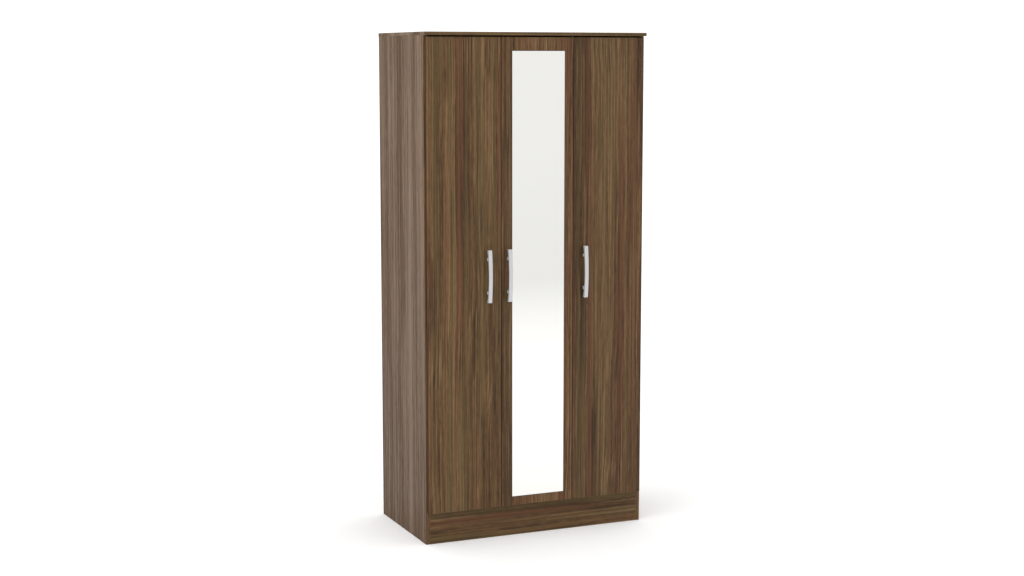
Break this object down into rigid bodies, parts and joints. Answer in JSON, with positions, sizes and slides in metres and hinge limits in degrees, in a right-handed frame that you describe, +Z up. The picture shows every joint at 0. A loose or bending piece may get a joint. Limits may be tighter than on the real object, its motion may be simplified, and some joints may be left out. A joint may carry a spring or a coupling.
{
  "type": "three-door wardrobe",
  "caption": "Free-standing wardrobe with hinged overlay doors, a long mirror on the centre door, bow handles, a hanging side and a shelved side.",
  "frame": {"origin": "on the floor, under the middle of the whole object with its handles", "axes": "+Z up, -Y out of the doors, +X to the right of a person who faces the doors"},
  "size_m": [0.9312, 0.5478, 1.97],
  "materials": {
    "walnut_foil": "printed walnut foil on chipboard, satin",
    "hardboard": "thin hardboard, matt",
    "mirror_glass": "silvered glass with a fine bevel",
    "foam_tape": "double-sided foam tape",
    "satin_metal": "pale satin coat on metal",
    "chrome_plate": "bright chrome plate",
    "beech": "fluted beech, bare",
    "white_plastic": "moulded plastic",
    "brown_plastic": "extruded plastic",
    "plated_steel": "nickel-plated steel"
  },
  "bodies": {
    "carcass": {"back_nails": "plated_steel", "back_panel_left": "hardboard", "back_panel_right": "hardboard", "back_strip": "brown_plastic", "bottom_panel": "walnut_foil", "cam_bolts": "plated_steel", "cam_locks": "plated_steel", "corner_blocks": "white_plastic", "dowels": "beech", "fixed_shelf": "walnut_foil", "hanging_rail": "chrome_plate", "hat_shelf": "walnut_foil", "hinge_arms_left": "plated_steel", "hinge_arms_middle": "plated_steel", "hinge_arms_right": "plated_steel", "hinge_plate_screws_left": "plated_steel", "hinge_plate_screws_middle": "plated_steel", "hinge_plate_screws_right": "plated_steel", "hinge_plates_left": "plated_steel", "hinge_plates_middle": "plated_steel", "hinge_plates_right": "plated_steel", "lower_shelf": "walnut_foil", "partition": "walnut_foil", "plinth_front": "walnut_foil", "plinth_rear": "walnut_foil", "rail_screws": "plated_steel", "rail_sockets": "chrome_plate", "shelf_pins": "plated_steel", "side_panel_left": "walnut_foil", "side_panel_right": "walnut_foil", "top_panel": "walnut_foil", "top_shelf": "walnut_foil", "upper_shelf": "walnut_foil"},
    "left_door": {"door_left": "walnut_foil", "handle_left": "satin_metal", "handle_screws_left": "plated_steel", "hinge_cup_screws_left": "plated_steel", "hinge_cups_left": "plated_steel", "hinge_links_left": "plated_steel"},
    "middle_door": {"door_middle": "walnut_foil", "handle_middle": "satin_metal", "handle_screws_middle": "plated_steel", "hinge_cup_screws_middle": "plated_steel", "hinge_cups_middle": "plated_steel", "hinge_links_middle": "plated_steel", "mirror": "mirror_glass", "mirror_tape": "foam_tape"},
    "right_door": {"door_right": "walnut_foil", "handle_right": "satin_metal", "handle_screws_right": "plated_steel", "hinge_cup_screws_right": "plated_steel", "hinge_cups_right": "plated_steel", "hinge_links_right": "plated_steel"}
  },
  "joints": [
    {"name": "left_door_hinge", "type": "hinge", "parent": "carcass", "child": "left_door", "pos_m": [-0.4575, -0.2433, 1.03735], "axis": [0, 0, -1], "range_deg": [0, 100]},
    {"name": "middle_door_hinge", "type": "hinge", "parent": "carcass", "child": "middle_door", "pos_m": [0.1516, -0.2433, 1.03735], "axis": [0, 0, 1], "range_deg": [0, 90]},
    {"name": "right_door_hinge", "type": "hinge", "parent": "carcass", "child": "right_door", "pos_m": [0.4575, -0.2433, 1.03735], "axis": [0, 0, 1], "range_deg": [0, 100]}
  ]
}
